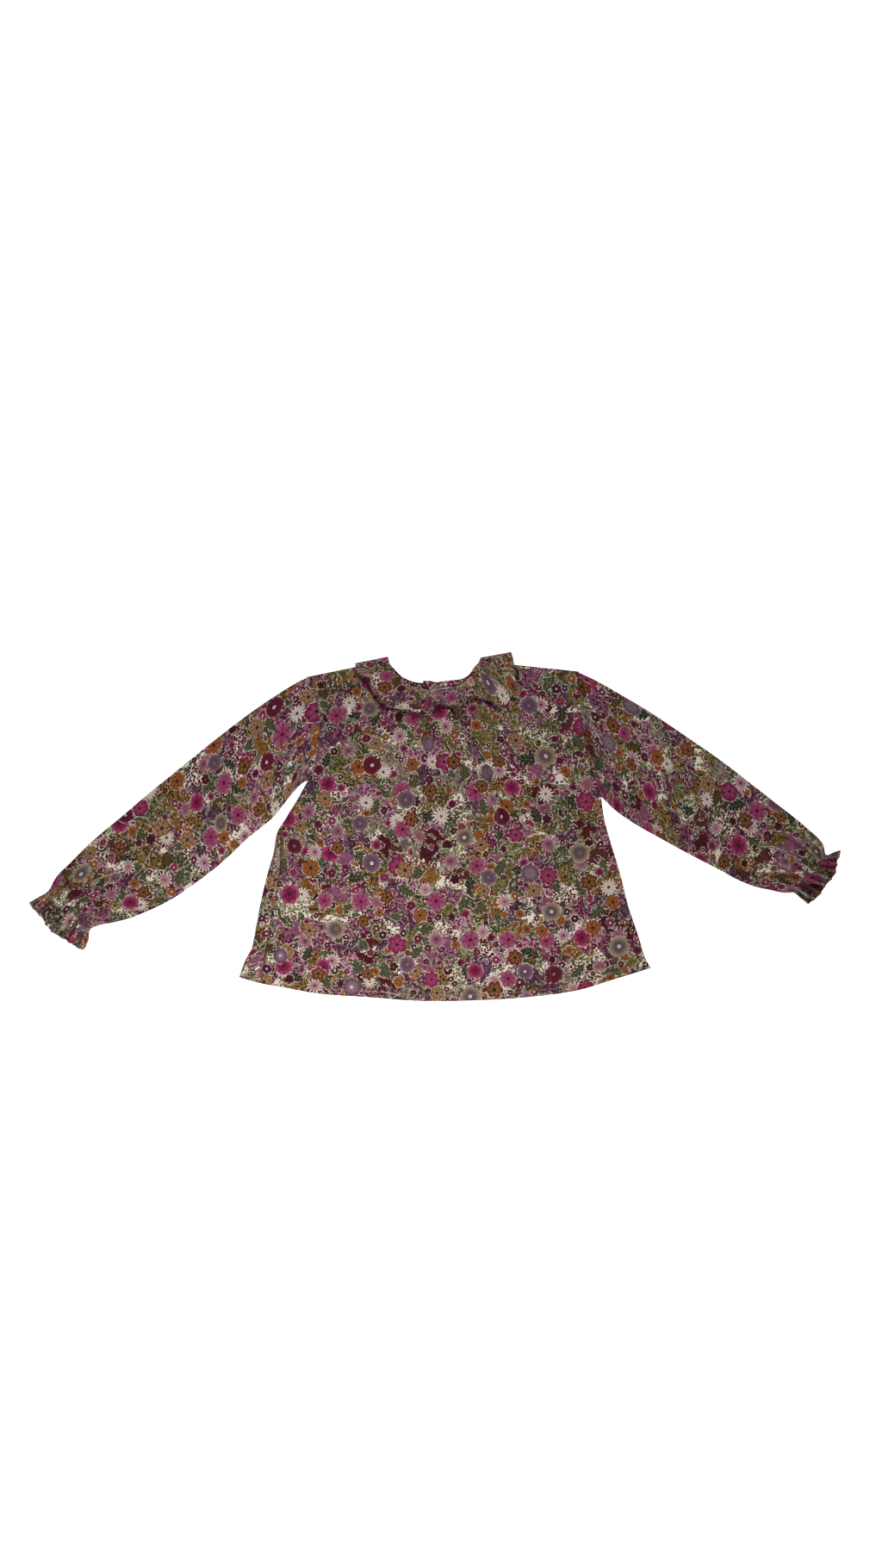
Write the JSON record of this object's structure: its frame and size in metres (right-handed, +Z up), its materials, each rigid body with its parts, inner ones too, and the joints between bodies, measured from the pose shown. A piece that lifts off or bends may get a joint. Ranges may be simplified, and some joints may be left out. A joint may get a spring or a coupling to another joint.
{
  "type": "blouse",
  "caption": "Child's long-sleeved blouse with a ruffled collar and gathered cuffs, laid flat with the front up.",
  "frame": {"origin": "middle of the blouse's footprint, on the surface it lies on", "axes": "+X to the viewer's right along the two sleeves, +Y from the hem to the neck, +Z up off the surface"},
  "size_m": [0.94, 0.4057, 0.0169],
  "materials": {
    "printed_cloth": "matt thin cotton with a dense small floral print",
    "binding_cloth": "the same printed cotton cut on the bias, folded and stitched",
    "button_shell": "small pale shirt button, softly polished"
  },
  "bodies": {
    "root": {"back": "printed_cloth", "front": "printed_cloth", "sleeve_left": "printed_cloth", "sleeve_right": "printed_cloth", "ruffle_collar": "printed_cloth", "neck_binding": "binding_cloth", "back_neck_button": "button_shell"}
  },
  "joints": []
}
